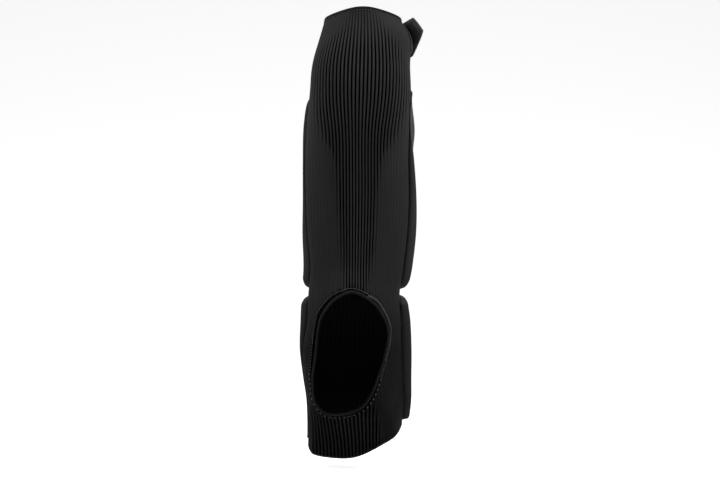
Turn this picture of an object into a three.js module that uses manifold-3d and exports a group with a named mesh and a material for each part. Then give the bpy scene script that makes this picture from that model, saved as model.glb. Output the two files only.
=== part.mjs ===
// A slip-on shin and instep guard: a rib-knit sleeve with a padded front and a strap below the knee.
// Millimetres. Z is up, the toes point to -Y, the outer side of the foot is -X.
// The origin is the middle of the ankle.
import * as THREE from "three";
import Module from "manifold-3d";

// Driving sizes
const HEIGHT = 506;          // from the toe hem up to the knee hem
const BREADTH = 120;         // across the calf
const WALL = 2.0;            // knit, with the tops of its ribs
const RIB_DEPTH = 0.7;       // from the top of a rib down to its groove
const RIBS = 33;             // ribs seen from behind, from one pad seam to the other
const FIT = 0.4;             // clearance between pieces that lie on each other
const PAD_FIT = 0.8;         // clearance between a pad and the bulging knit under it
const HEM_WIDTH = 3.4;       // every hem, across
const HEM_THICK = 2.8;       // every hem, through
const PAD_MIDDLE_SHIN = 15;  // foam of the shin pad at its middle
const PAD_MIDDLE_FOOT = 12;  // foam of the instep pad at its middle
const PAD_FLAT = 12;         // thin part of a pad along its side
const PAD_SLOPE = 34;        // how far in from there a pad comes to its full thickness
const PAD_END_SLOPE = 16;    // the same, in from its upper and lower end
const PAD_LIP = 2.2;         // a pad along its sewn edge
const STRAP_THICK = 2.0;
const TAB_LENGTH = 41;       // loose end of the strap
const TAPE_THICK = 1.2;      // hook tape and loop tape
const SEAM_ANGLE = 80;       // where the pads are sewn on, turned from the middle of the back

// Stations from the toes up to the knee. Heights are shares of HEIGHT, all else of BREADTH.
// The front and back columns are the ends of a station in the middle plane of the leg.
// frontHalf, frontDeep, backHalf and backDeep are the half axes of the two ovals that a station
// is drawn round. shift moves it sideways, edge is how far a pad stands out at its side.
const STATIONS = [
  { frontY: -0.939, frontZ: -0.267, backY: -0.744, backZ: -0.326,
    frontHalf: 0.417, frontDeep: 0.142, backHalf: 0.383, backDeep: 0.067, shift: -0.005, edge: 0.040 },
  { frontY: -0.748, frontZ: -0.206, backY: -0.502, backZ: -0.281,
    frontHalf: 0.438, frontDeep: 0.175, backHalf: 0.383, backDeep: 0.083, shift: -0.018, edge: 0.042 },
  { frontY: -0.638, frontZ: -0.153, backY: -0.272, backZ: -0.239,
    frontHalf: 0.446, frontDeep: 0.217, backHalf: 0.358, backDeep: 0.108, shift: -0.025, edge: 0.046 },
  { frontY: -0.584, frontZ: -0.096, backY: -0.101, backZ: -0.207,
    frontHalf: 0.442, frontDeep: 0.250, backHalf: 0.317, backDeep: 0.142, shift: -0.012, edge: 0.062 },
  { frontY: -0.517, frontZ: -0.036, backY: 0.083, backZ: -0.138,
    frontHalf: 0.442, frontDeep: 0.267, backHalf: 0.250, backDeep: 0.183, shift: 0.000, edge: 0.071 },
  { frontY: -0.450, frontZ: 0.014, backY: 0.250, backZ: -0.040,
    frontHalf: 0.433, frontDeep: 0.267, backHalf: 0.200, backDeep: 0.183, shift: 0.000, edge: 0.067 },
  { frontY: -0.400, frontZ: 0.061, backY: 0.354, backZ: 0.047,
    frontHalf: 0.420, frontDeep: 0.250, backHalf: 0.175, backDeep: 0.175, shift: 0.008, edge: 0.050 },
  { frontY: -0.388, frontZ: 0.115, backY: 0.292, backZ: 0.123,
    frontHalf: 0.433, frontDeep: 0.267, backHalf: 0.200, backDeep: 0.200, shift: -0.015, edge: 0.067 },
  { frontY: -0.433, frontZ: 0.186, backY: 0.279, backZ: 0.206,
    frontHalf: 0.458, frontDeep: 0.283, backHalf: 0.267, backDeep: 0.250, shift: -0.027, edge: 0.058 },
  { frontY: -0.492, frontZ: 0.261, backY: 0.300, backZ: 0.283,
    frontHalf: 0.471, frontDeep: 0.300, backHalf: 0.325, backDeep: 0.300, shift: -0.034, edge: 0.046 },
  { frontY: -0.542, frontZ: 0.340, backY: 0.335, backZ: 0.364,
    frontHalf: 0.479, frontDeep: 0.342, backHalf: 0.383, backDeep: 0.350, shift: -0.030, edge: 0.033 },
  { frontY: -0.592, frontZ: 0.419, backY: 0.375, backZ: 0.445,
    frontHalf: 0.483, frontDeep: 0.375, backHalf: 0.433, backDeep: 0.400, shift: -0.036, edge: 0.017 },
  { frontY: -0.633, frontZ: 0.494, backY: 0.373, backZ: 0.520,
    frontHalf: 0.475, frontDeep: 0.400, backHalf: 0.442, backDeep: 0.433, shift: -0.050, edge: 0.012 },
  { frontY: -0.658, frontZ: 0.557, backY: 0.310, backZ: 0.583,
    frontHalf: 0.446, frontDeep: 0.400, backHalf: 0.417, backDeep: 0.433, shift: -0.057, edge: 0.017 },
  { frontY: -0.675, frontZ: 0.617, backY: 0.200, backZ: 0.638,
    frontHalf: 0.411, frontDeep: 0.383, backHalf: 0.370, backDeep: 0.400, shift: -0.067, edge: 0.017 },
  { frontY: -0.667, frontZ: 0.661, backY: 0.122, backZ: 0.684,
    frontHalf: 0.367, frontDeep: 0.367, backHalf: 0.317, backDeep: 0.350, shift: -0.075, edge: 0.017 },
];
const TOP = STATIONS.length - 1;
const BLEND = 2.5;           // how softly the two ovals of a station run into each other
const TOE_LONG = 0.0;        // station of the toe hem under the inner side of the foot
const TOE_SLANT = 0.95;       // how many stations the toe hem climbs to the outer side
const SOCK_RINGS = [0, 1, 2, 3, 4, 5, 5.5, 6, 6.5, 7, 8, 9, 10, 11, 12, 13, 14, 15];
const FRONT_STEPS = 18;      // columns of the plain front, from one pad seam to the other
const HEM_STEPS = 40;        // steps of a hem round the knee or the toes

// Line of the heel hem as seen from behind, round from its top over the outer side.
// out is a share of HEEL_WIDE towards the outer side, up a share of HEEL_TALL.
const HEEL_WIDE = 88;
const HEEL_TALL = 145;
const HEEL_MIDDLE = { x: 6, z: -38 };
const HEEL_LINE = [
  { out: 0.07, up: 0.500 }, { out: 0.27, up: 0.440 }, { out: 0.41, up: 0.345 }, { out: 0.515, up: 0.185 },
  { out: 0.47, up: -0.025 }, { out: 0.385, up: -0.195 }, { out: 0.28, up: -0.350 }, { out: 0.13, up: -0.450 },
  { out: -0.15, up: -0.500 }, { out: -0.36, up: -0.480 }, { out: -0.465, up: -0.385 },
  { out: -0.48, up: -0.190 }, { out: -0.46, up: -0.010 }, { out: -0.43, up: 0.155 },
  { out: -0.38, up: 0.295 }, { out: -0.24, up: 0.420 }, { out: -0.08, up: 0.485 },
];
const HEEL_STEPS = 51;

// Smooth steps and curves
function clamp(value, low, high) {
  return Math.min(high, Math.max(low, value));
}

function ease(value) {
  const s = clamp(value, 0, 1);
  return s * s * (3 - 2 * s);
}

function through(before, from, to, after, s) {
  const straight = to - from;
  const leave = (to - before) / 2;
  const arrive = (after - from) / 2;
  return from + s * (leave + s * (3 * straight - 2 * leave - arrive + s * (leave + arrive - 2 * straight)));
}

function station(t) {
  const k = clamp(Math.floor(t), 0, TOP - 1);
  const rows = [k - 1, k, k + 1, k + 2].map((i) => STATIONS[clamp(i, 0, TOP)]);
  const value = {};
  for (const name of Object.keys(STATIONS[0])) {
    const unit = name.endsWith("Z") ? HEIGHT : BREADTH;
    value[name] = unit * through(...rows.map((row) => row[name]), t - k);
  }
  return value;
}

// One station: its outline is drawn round two ovals, a wide one at the front and one at the back.
// The angle is that of the outward normal, 0 at the middle of the back, positive to the inner side.
function outline(t) {
  const s = station(t);
  const deep = Math.hypot(s.backY - s.frontY, s.backZ - s.frontZ);
  const back = { y: (s.backY - s.frontY) / deep, z: (s.backZ - s.frontZ) / deep };
  const samples = [];
  for (let degree = -180; degree <= 180; degree += 1) {
    const angle = THREE.MathUtils.degToRad(degree);
    const side = Math.sin(angle);
    const rear = Math.cos(angle);
    const ovals = [[s.frontHalf, s.frontDeep, s.frontDeep], [s.backHalf, s.backDeep, deep - s.backDeep]];
    const reach = ovals.map(([half, depth, centre]) => {
      const root = Math.hypot(half * side, depth * rear);
      return {
        value: centre * rear + root,
        slope: -centre * side + (half * half - depth * depth) * side * rear / root,
      };
    });
    const most = Math.max(reach[0].value, reach[1].value);
    const weights = reach.map((r) => Math.exp((r.value - most) / BLEND));
    const total = weights[0] + weights[1];
    const value = most + BLEND * Math.log(total);
    const slope = (weights[0] * reach[0].slope + weights[1] * reach[1].slope) / total;
    samples.push({ angle: degree, x: value * side + slope * rear, d: value * rear - slope * side });
  }
  return { s, back, samples };
}

// Ribs stand closer where the knit runs away from the back view, so the columns of the back are
// spread by a mix of the way along the outline and the way across it.
function measured(samples, low, high, across) {
  const marks = [{ way: 0, x: low.x, d: low.d, angle: low.angle }];
  for (const point of [...samples, high]) {
    const last = marks[marks.length - 1];
    const along = Math.hypot(point.x - last.x, point.d - last.d);
    const way = last.way + (1 - across) * along + across * Math.abs(point.x - last.x);
    marks.push({ way, x: point.x, d: point.d, angle: point.angle });
  }
  return marks;
}

function pick(marks, share) {
  const way = share * marks[marks.length - 1].way;
  const past = marks.findIndex((mark) => mark.way > way);
  const next = past < 0 ? marks.length - 1 : Math.max(past, 1);
  const a = marks[next - 1];
  const b = marks[next];
  const s = clamp((way - a.way) / Math.max(b.way - a.way, 1e-9), 0, 1);
  return { x: a.x + s * (b.x - a.x), d: a.d + s * (b.d - a.d), angle: a.angle + s * (b.angle - a.angle) };
}

// A place on the knit. share runs from -1 at the outer pad seam over the back to 1 at the inner one.
// Past them, from 1 to 3, it runs on round the front. lift is the height above the knit.
const kept = new Map();

function marksAt(t) {
  const key = Math.round(t * 1e6);
  if (!kept.has(key)) {
    const { s, back, samples } = outline(t);
    const low = samples[180 - SEAM_ANGLE];
    const high = samples[180 + SEAM_ANGLE];
    const middle = samples.slice(181 - SEAM_ANGLE, 180 + SEAM_ANGLE);
    const rest = samples.slice(181 + SEAM_ANGLE).concat(
      samples.slice(1, 180 - SEAM_ANGLE).map((p) => ({ ...p, angle: p.angle + 360 })));
    const end = { ...low, angle: low.angle + 360 };
    kept.set(key, { s, back, rear: measured(middle, low, high, 0.5), front: measured(rest, high, end, 0) });
  }
  return kept.get(key);
}

function onKnit(share, t, lift = 0) {
  const { s, back, rear, front } = marksAt(t);
  const place = share <= 1 ? pick(rear, (share + 1) / 2) : pick(front, (share - 1) / 2);
  const angle = THREE.MathUtils.degToRad(place.angle);
  const x = s.shift + place.x + lift * Math.sin(angle);
  const d = place.d + lift * Math.cos(angle);
  return new THREE.Vector3(x, s.frontY + d * back.y, s.frontZ + d * back.z);
}

// The toe hem runs level under the inner side and climbs towards the outer side.
function toeStation(share, t) {
  const x = onKnit(share, 1).x / BREADTH;
  const slant = TOE_LONG + TOE_SLANT * ease((0.125 - x) / 0.6);
  return t + slant * Math.pow(Math.max(0, 1 - t / 5), 1.5);
}

// A solid between an outer and an inner sheet of points, open or closed all the way round.
function slab(columns, rows, closed, place) {
  const points = [];
  for (const side of [1, 0]) {
    rows.forEach((row) => columns.forEach((column) => points.push(place(column, row, side))));
  }
  const wide = columns.length;
  const sheet = wide * rows.length;
  const faces = [];
  const quad = (a, b, c, d) => faces.push(a, b, c, a, c, d);
  const id = (i, j, side) => (1 - side) * sheet + j * wide + (i % wide);
  const last = rows.length - 1;
  const steps = closed ? wide : wide - 1;
  for (let i = 0; i < steps; i++) {
    for (let j = 0; j < last; j++) {
      quad(id(i, j, 1), id(i + 1, j, 1), id(i + 1, j + 1, 1), id(i, j + 1, 1));
      quad(id(i, j, 0), id(i, j + 1, 0), id(i + 1, j + 1, 0), id(i + 1, j, 0));
    }
    quad(id(i, 0, 0), id(i + 1, 0, 0), id(i + 1, 0, 1), id(i, 0, 1));
    quad(id(i, last, 1), id(i + 1, last, 1), id(i + 1, last, 0), id(i, last, 0));
  }
  if (!closed) {
    for (let j = 0; j < last; j++) {
      quad(id(0, j, 1), id(0, j + 1, 1), id(0, j + 1, 0), id(0, j, 0));
      quad(id(wide - 1, j, 0), id(wide - 1, j + 1, 0), id(wide - 1, j + 1, 1), id(wide - 1, j, 1));
    }
  }
  return solidOf(points, faces);
}

function solidOf(points, faces) {
  let volume = 0;
  for (let k = 0; k < faces.length; k += 3) {
    const [a, b, c] = [points[faces[k]], points[faces[k + 1]], points[faces[k + 2]]];
    volume += a.dot(new THREE.Vector3().crossVectors(b, c));
  }
  if (volume < 0) {
    for (let k = 0; k < faces.length; k += 3) {
      [faces[k], faces[k + 1]] = [faces[k + 1], faces[k]];
    }
  }
  const geometry = new THREE.BufferGeometry();
  geometry.setAttribute("position", new THREE.Float32BufferAttribute(points.flatMap((p) => p.toArray()), 3));
  geometry.setIndex(faces);
  return geometry;
}

// Knit columns: a top and a groove for each rib of the back, then the plain front.
function ribColumns() {
  const columns = [{ share: -1, lift: 0 }];
  for (let k = 0; k < RIBS; k++) {
    columns.push({ share: -1 + 2 * (k + 0.5) / RIBS, lift: 0 });
    if (k < RIBS - 1) {
      columns.push({ share: -1 + 2 * (k + 1) / RIBS, lift: -RIB_DEPTH });
    }
  }
  return columns;
}

function frontColumns() {
  return Array.from({ length: FRONT_STEPS }, (_, k) => ({ share: 1 + 2 * k / FRONT_STEPS, lift: 0 }));
}

function sockTube() {
  return slab([...ribColumns(), ...frontColumns()], SOCK_RINGS, true, (column, t, side) => {
    const lift = side ? column.lift : -WALL;
    return onKnit(column.share, toeStation(column.share, t), lift);
  });
}

// Heel opening
function heelLine(turn) {
  const count = HEEL_LINE.length;
  const at = turn * count;
  const k = Math.floor(at);
  const rows = [k - 1, k, k + 1, k + 2].map((i) => HEEL_LINE[(i + count) % count]);
  const out = through(...rows.map((row) => row.out), at - k);
  const up = through(...rows.map((row) => row.up), at - k);
  return { x: HEEL_MIDDLE.x - out * HEEL_WIDE, z: HEEL_MIDDLE.z + up * HEEL_TALL };
}

function normalAt(share, t) {
  const step = 0.01;
  const round = onKnit(share + step, t).sub(onKnit(share - step, t));
  const along = onKnit(share, t + step).sub(onKnit(share, t - step));
  return round.cross(along).normalize().negate();
}

// Place on the knit behind a point of the back view, stepped to from a place near it.
function behind(target, from) {
  const place = { ...from };
  const step = 0.001;
  for (let round = 0; round < 12; round++) {
    const here = onKnit(place.share, place.t);
    const side = onKnit(place.share + step, place.t).sub(here).divideScalar(step);
    const rise = onKnit(place.share, place.t + step).sub(here).divideScalar(step);
    const dx = target.x - here.x;
    const dz = target.z - here.z;
    const det = side.x * rise.z - rise.x * side.z;
    place.share += clamp((dx * rise.z - rise.x * dz) / det, -0.15, 0.15);
    place.t += clamp((side.x * dz - dx * side.z) / det, -0.4, 0.4);
  }
  return place;
}

function heelRing() {
  const ring = [];
  let place = { share: 0, t: 6 };
  for (let k = 0; k < HEEL_STEPS; k++) {
    place = behind(heelLine(k / HEEL_STEPS), place);
    const point = onKnit(place.share, place.t, -WALL / 2);
    ring.push({ point, normal: normalAt(place.share, place.t) });
  }
  return ring;
}

function heelPlug(ring) {
  const count = ring.length;
  const inner = ring.map((r) => r.point.clone().addScaledVector(r.normal, -2 * WALL));
  const outer = ring.map((r) => r.point.clone().addScaledVector(r.normal, 2 * WALL));
  const far = outer.map((p) => new THREE.Vector3(p.x, BREADTH, p.z));
  const points = [...inner, ...outer, ...far];
  points.push(new THREE.Vector3(HEEL_MIDDLE.x, -0.2 * BREADTH, HEEL_MIDDLE.z));
  points.push(new THREE.Vector3(HEEL_MIDDLE.x, BREADTH, HEEL_MIDDLE.z));
  const faces = [];
  for (let k = 0; k < count; k++) {
    const next = (k + 1) % count;
    for (const low of [0, count]) {
      faces.push(low + k, low + next, low + count + next, low + k, low + count + next, low + count + k);
    }
    faces.push(3 * count, next, k, 2 * count + k, 2 * count + next, 3 * count + 1);
  }
  return solidOf(points, faces);
}

function heelHem(ring) {
  const count = ring.length;
  const turns = ring.map((r, k) => {
    const ahead = ring[(k + 1) % count].point;
    const past = ring[(k + count - 1) % count].point;
    const inward = r.normal.clone().cross(ahead.clone().sub(past)).normalize();
    const middle = new THREE.Vector3(HEEL_MIDDLE.x, r.point.y, HEEL_MIDDLE.z);
    return { ...r, inward: inward.dot(middle.sub(r.point)) < 0 ? inward.negate() : inward };
  });
  return slab(turns, [0, 0.5, 1], true, (turn, across, side) => {
    const half = (across === 0.5 ? 0.5 : 0.3) * HEM_THICK;
    return turn.point.clone()
      .addScaledVector(turn.inward, FIT + across * HEM_WIDTH)
      .addScaledVector(turn.normal, side ? half : -half);
  });
}

function asManifold(wasm, geometry) {
  const mesh = new wasm.Mesh({
    numProp: 3,
    vertProperties: new Float32Array(geometry.getAttribute("position").array),
    triVerts: new Uint32Array(geometry.getIndex().array),
  });
  return new wasm.Manifold(mesh);
}

function cutAway(wasm, geometry, plug) {
  const result = asManifold(wasm, geometry).subtract(asManifold(wasm, plug)).getMesh();
  const cut = new THREE.BufferGeometry();
  cut.setAttribute("position", new THREE.Float32BufferAttribute(Array.from(result.vertProperties), 3));
  cut.setIndex(Array.from(result.triVerts));
  return cut;
}

// Hems of the two ends: a band that goes on from the last ring of the knit.
function endHem(t, away) {
  const shares = Array.from({ length: HEM_STEPS }, (_, k) => -1 + 4 * k / HEM_STEPS);
  return slab(shares, [0, 0.5, 1], true, (share, across, side) => {
    const half = (across === 0.5 ? 0.5 : 0.3) * HEM_THICK;
    const lift = -WALL / 2 + (side ? half : -half);
    return onKnit(share, toeStation(share, t), lift).addScaledVector(away, FIT + across * HEM_WIDTH);
  });
}

function toeHem() {
  const s = station(0.5);
  const away = new THREE.Vector3(0, s.backZ - s.frontZ, s.frontY - s.backY).normalize();
  return endHem(0, away.z > 0 ? away.negate() : away);
}

function kneeHem() {
  const s = station(TOP);
  const away = new THREE.Vector3(0, s.backZ - s.frontZ, s.frontY - s.backY).normalize();
  return endHem(TOP, away.z < 0 ? away.negate() : away);
}

// Pads: foam on the front of the knit, thin along the sewn edge, full in the middle.
function pad({ low, high, corner, foot, middle, rows }) {
  const shares = frontColumns().map((column) => column.share);
  const columns = [1.012, ...shares.slice(1), 2.988];
  return slab(columns, rows, false, (share, row, side) => {
    const toSide = 1 - Math.abs(share - 2);
    const round = 1 - Math.sqrt(1 - Math.pow(clamp(1 - toSide / 0.3, 0, 1), 2) * 0.98);
    const bottom = toeStation(share, low) + foot * round;
    const top = high - corner * round;
    const t = bottom + row * (top - bottom);
    if (!side) {
      return onKnit(share, t, PAD_FIT);
    }
    const reach = BREADTH * 0.85 * toSide;
    const end = Math.min(row, 1 - row) * (high - low) * HEIGHT / TOP;
    const swell = ease((reach - PAD_FLAT) / PAD_SLOPE) * ease((end + 4) / PAD_END_SLOPE);
    const edge = station(t).edge * ease((end + 8) / PAD_END_SLOPE) * ease((reach + 3) / 7);
    return onKnit(share, t, PAD_FIT + PAD_LIP + edge + swell * Math.max(0, middle - PAD_LIP - edge));
  });
}

function shinPad() {
  const rows = [0, 0.02, 0.05, 0.09, 0.15, 0.25, 0.38, 0.5, 0.62, 0.75, 0.85, 0.91, 0.95, 0.98, 1];
  return pad({ low: 6.08, high: 12.5, corner: 1.35, foot: 0.6, middle: PAD_MIDDLE_SHIN, rows });
}

function instepPad() {
  const rows = [0, 0.02, 0.05, 0.1, 0.2, 0.35, 0.5, 0.65, 0.8, 0.9, 0.95, 0.98, 1];
  return pad({ low: 0.05, high: 5.95, corner: 0.42, foot: 0.42, middle: PAD_MIDDLE_FOOT, rows });
}

// Strap: sewn on at the inner side, round the front below the knee, with a loose end.
const STRAP_LOW = 13.25;
const STRAP_HIGH = 14.85;
const PEEL = 3 - 2 * 4 / FRONT_STEPS;

function strapPlace(share, way, level, lift) {
  const t = STRAP_LOW + level * (STRAP_HIGH - STRAP_LOW);
  if (way <= 0) {
    return onKnit(share, t, lift);
  }
  const step = 0.004;
  const start = onKnit(PEEL, t, lift);
  const ahead = start.clone().sub(onKnit(PEEL - step, t, lift)).normalize();
  return start.addScaledVector(ahead, way);
}

function tabLength(level) {
  return TAB_LENGTH * (0.42 + 0.58 * clamp(level / 0.5, 0, 1));
}

function kneeStrap() {
  const sewn = frontColumns().map((column) => column.share).filter((share) => share > 1.1 && share < PEEL - 0.01);
  const columns = [...sewn.map((share) => ({ share, way: 0 })),
    ...[0, 0.12, 0.35, 0.7, 1].map((way) => ({ share: PEEL, way }))];
  return slab(columns, [0, 0.25, 0.5, 0.75, 1], false, ({ share, way }, level, side) => {
    return strapPlace(share, way * tabLength(level), level, FIT + (side ? STRAP_THICK : 0));
  });
}

function hookPatch() {
  return slab([0.5, 0.65, 0.8, 0.95], [0.12, 0.5, 0.92], false, (way, level, side) => {
    const lift = side ? 0 : -TAPE_THICK;
    return strapPlace(PEEL, way * tabLength(level), level, lift);
  });
}

function loopPatch() {
  const shares = frontColumns().map((column) => column.share).filter((share) => share > PEEL + 0.15);
  return slab([...shares, 2.995], [0.1, 0.5, 0.9], false, (share, level, side) => {
    return strapPlace(share, 0, level, FIT + (side ? TAPE_THICK * 0.8 : 0));
  });
}

// Materials
const KNIT = { color: 0x242425, roughness: 0.95, metalness: 0 };
const PAD_COVER = { color: 0x2a2a2b, roughness: 0.9, metalness: 0 };
const WEBBING = { color: 0x232324, roughness: 0.8, metalness: 0 };
const HOOK = { color: 0x111112, roughness: 0.7, metalness: 0 };
const THREAD = { color: 0x2e2e30, roughness: 0.85, metalness: 0 };

function piece(name, geometry, look) {
  const mesh = new THREE.Mesh(geometry, new THREE.MeshStandardMaterial(look));
  mesh.name = name;
  return mesh;
}

const wasm = await Module();
wasm.setup();
const ring = heelRing();
const guard = new THREE.Group();
guard.name = "shin_instep_guard";
guard.add(
  piece("knit_sock", cutAway(wasm, sockTube(), heelPlug(ring)), KNIT),
  piece("knee_hem", kneeHem(), THREAD),
  piece("heel_hem", heelHem(ring), THREAD),
  piece("toe_hem", toeHem(), THREAD),
  piece("shin_pad", shinPad(), PAD_COVER),
  piece("instep_pad", instepPad(), PAD_COVER),
  piece("knee_strap", kneeStrap(), WEBBING),
  piece("hook_patch", hookPatch(), HOOK),
  piece("loop_patch", loopPatch(), WEBBING),
);

export default guard;
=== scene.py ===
import math

import bpy
import numpy as np
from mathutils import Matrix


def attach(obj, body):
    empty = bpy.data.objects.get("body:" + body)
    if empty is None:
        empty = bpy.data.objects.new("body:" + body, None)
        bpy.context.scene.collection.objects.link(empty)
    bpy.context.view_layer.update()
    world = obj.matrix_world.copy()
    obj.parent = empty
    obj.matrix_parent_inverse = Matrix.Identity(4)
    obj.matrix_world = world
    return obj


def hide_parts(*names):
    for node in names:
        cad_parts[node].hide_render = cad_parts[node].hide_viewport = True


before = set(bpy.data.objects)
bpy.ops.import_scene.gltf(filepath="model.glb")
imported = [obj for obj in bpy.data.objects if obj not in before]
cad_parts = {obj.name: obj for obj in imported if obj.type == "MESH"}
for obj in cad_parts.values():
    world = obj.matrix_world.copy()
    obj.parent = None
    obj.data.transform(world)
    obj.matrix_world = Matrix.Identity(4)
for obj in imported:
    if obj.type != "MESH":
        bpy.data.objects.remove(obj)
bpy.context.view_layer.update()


# The sleeve: one tube of black rib knit for the lower leg and the foot, knitted round and cut
# open at the heel. It is stretched over the calf, where its ribs stand apart, and lies closed
# along the sides. The pads are sewn on along two seams.
HEIGHT = 0.506
BREADTH = 0.120
WALL = 0.0020
SEAM_OUTER = 80
SEAM_INNER = 96
RIB_ACROSS = 0.85
COLUMNS = ("front_y", "front_z", "back_y", "back_z", "front_half", "front_deep",
           "back_half", "back_deep", "shift", "edge", "inner_edge")
STATIONS = np.array([
    (-0.939, -0.267, -0.744, -0.330, 0.444, 0.142, 0.410, 0.067, 0.019, 0.040, -0.012),
    (-0.748, -0.206, -0.502, -0.281, 0.457, 0.175, 0.390, 0.083, 0.001, 0.042, -0.012),
    (-0.638, -0.153, -0.272, -0.239, 0.467, 0.217, 0.358, 0.108, -0.004, 0.046, -0.012),
    (-0.584, -0.096, -0.101, -0.207, 0.472, 0.250, 0.317, 0.142, 0.018, 0.062, -0.010),
    (-0.517, -0.036, 0.083, -0.138, 0.472, 0.267, 0.250, 0.183, 0.029, 0.071, 0.008),
    (-0.450, 0.014, 0.250, -0.040, 0.444, 0.267, 0.200, 0.183, 0.011, 0.067, 0.045),
    (-0.400, 0.061, 0.354, 0.047, 0.432, 0.250, 0.175, 0.175, 0.011, 0.050, 0.045),
    (-0.388, 0.115, 0.292, 0.123, 0.438, 0.267, 0.200, 0.200, -0.018, 0.060, 0.050),
    (-0.433, 0.186, 0.279, 0.206, 0.472, 0.283, 0.267, 0.250, -0.022, 0.058, 0.030),
    (-0.492, 0.261, 0.300, 0.283, 0.488, 0.300, 0.325, 0.300, -0.023, 0.046, 0.012),
    (-0.542, 0.340, 0.335, 0.364, 0.490, 0.342, 0.383, 0.350, -0.017, 0.030, 0.004),
    (-0.592, 0.419, 0.375, 0.445, 0.488, 0.375, 0.433, 0.400, -0.030, -0.014, 0.014),
    (-0.633, 0.494, 0.373, 0.520, 0.476, 0.400, 0.442, 0.433, -0.050, -0.014, 0.008),
    (-0.658, 0.557, 0.310, 0.583, 0.462, 0.400, 0.425, 0.433, -0.057, 0.017, 0.017),
    (-0.675, 0.617, 0.200, 0.638, 0.436, 0.383, 0.380, 0.400, -0.092, 0.017, 0.017),
    (-0.667, 0.661, 0.122, 0.684, 0.370, 0.320, 0.205, 0.320, -0.075, 0.017, 0.017),
])
TOP = len(STATIONS) - 1
BLEND = 0.0025


def ease(value):
    """0 below 0, 1 above 1 and a smooth step between."""
    s = np.clip(value, 0, 1)
    return s * s * (3 - 2 * s)


def stations_at(t):
    """The columns of the station table at places t along it: a cubic through the rows, whose
    slope at each row is half the step between the rows beside it."""
    k = np.clip(np.floor(t).astype(int), 0, TOP - 1)
    s = (t - k)[..., None]
    before, here, after, later = (STATIONS[np.clip(k + i, 0, TOP)] for i in (-1, 0, 1, 2))
    leave, arrive = (after - before) / 2, (later - here) / 2
    step = after - here
    curve = here + s * (leave + s * (3 * step - 2 * leave - arrive + s * (leave + arrive - 2 * step)))
    unit = np.array([HEIGHT if name.endswith("_z") else BREADTH for name in COLUMNS])
    return dict(zip(COLUMNS, np.moveaxis(curve * unit, -1, 0)))


def outlines(t, degrees):
    """Each station is drawn round two ovals, a wide one at the front and one at the back. Its reach
    in the direction of a normal is the soft maximum of the reaches of the ovals, and the point of
    the outline is reach times normal plus its slope times tangent. Gives x and the depth from the
    front, one row for each t."""
    s = {name: value[:, None] for name, value in stations_at(t).items()}
    deep = np.hypot(s["back_y"] - s["front_y"], s["back_z"] - s["front_z"])
    side, rear = np.sin(np.radians(degrees)), np.cos(np.radians(degrees))
    reach, slope = [], []
    for half, depth, centre in ((s["front_half"], s["front_deep"], s["front_deep"]),
                                (s["back_half"], s["back_deep"], deep - s["back_deep"])):
        root = np.hypot(half * side, depth * rear)
        reach.append(centre * rear + root)
        slope.append(-centre * side + (half ** 2 - depth ** 2) * side * rear / root)
    most = np.maximum(*reach)
    weight = [np.exp((value - most) / BLEND) for value in reach]
    total = weight[0] + weight[1]
    value = most + BLEND * np.log(total)
    turn = (weight[0] * slope[0] + weight[1] * slope[1]) / total
    return value * side + turn * rear, value * rear - turn * side


def spread_evenly(x, d, degrees, across, count):
    """Places a row at even steps of its way, a mix of the length along it and the way across it."""
    along = np.hypot(np.diff(x, axis=1), np.diff(d, axis=1))
    way = np.cumsum((1 - across) * along + across * np.abs(np.diff(x, axis=1)), axis=1)
    way = np.hstack([np.zeros((len(x), 1)), way]) / way[:, -1:]
    at = np.linspace(0, 1, count + 1)
    return np.array([[np.interp(at, w, v) for v in (a, b, degrees)] for w, a, b in zip(way, x, d)])


FINE = 400
KNIT_T = np.linspace(0, TOP, 20 * TOP + 1)
rear_degrees = np.arange(-SEAM_OUTER, SEAM_INNER + 0.5, 0.5)
front_degrees = np.arange(SEAM_INNER, 360 - SEAM_OUTER + 0.5, 0.5)
knit_rear = spread_evenly(*outlines(KNIT_T, rear_degrees), rear_degrees, RIB_ACROSS, FINE)
knit_front = spread_evenly(*outlines(KNIT_T, front_degrees), front_degrees, 0.0, FINE)
KNIT = np.concatenate([knit_rear, knit_front[:, :, 1:]], axis=2)


def on_knit(share, t, lift=0.0):
    """The place on the sleeve at share round it, from -1 at the outer pad seam over the back to 1
    at the inner one and on round the front to 3, and at t along it, lifted off it by lift."""
    share, t, lift = np.broadcast_arrays(np.asarray(share, float), np.asarray(t, float),
                                         np.asarray(lift, float))
    column = np.clip((np.mod(share + 1, 4)) * FINE / 2, 0, 2 * FINE - 1e-6)
    row = np.clip(t * 20, 0, len(KNIT_T) - 1 - 1e-6)
    i, j = column.astype(int), row.astype(int)
    a, b = column - i, row - j
    x, d, angle = (KNIT[j, k, i] * (1 - a) * (1 - b) + KNIT[j, k, i + 1] * a * (1 - b)
                   + KNIT[j + 1, k, i] * (1 - a) * b + KNIT[j + 1, k, i + 1] * a * b for k in range(3))
    s = stations_at(t)
    deep = np.hypot(s["back_y"] - s["front_y"], s["back_z"] - s["front_z"])
    x = s["shift"] + x + lift * np.sin(np.radians(angle))
    d = (d + lift * np.cos(np.radians(angle))) / deep
    y = s["front_y"] + d * (s["back_y"] - s["front_y"])
    z = s["front_z"] + d * (s["back_z"] - s["front_z"])
    return np.stack([x, y, z], axis=-1)


def toe_station(share, t):
    """Moves the stations near the toes up towards the outer side, so that the toe hem is slanted."""
    slant = 0.95 * ease((0.125 - on_knit(share, 1.0)[..., 0] / BREADTH) / 0.6)
    return t + slant * np.maximum(0, 1 - t / 5) ** 1.5


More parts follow.
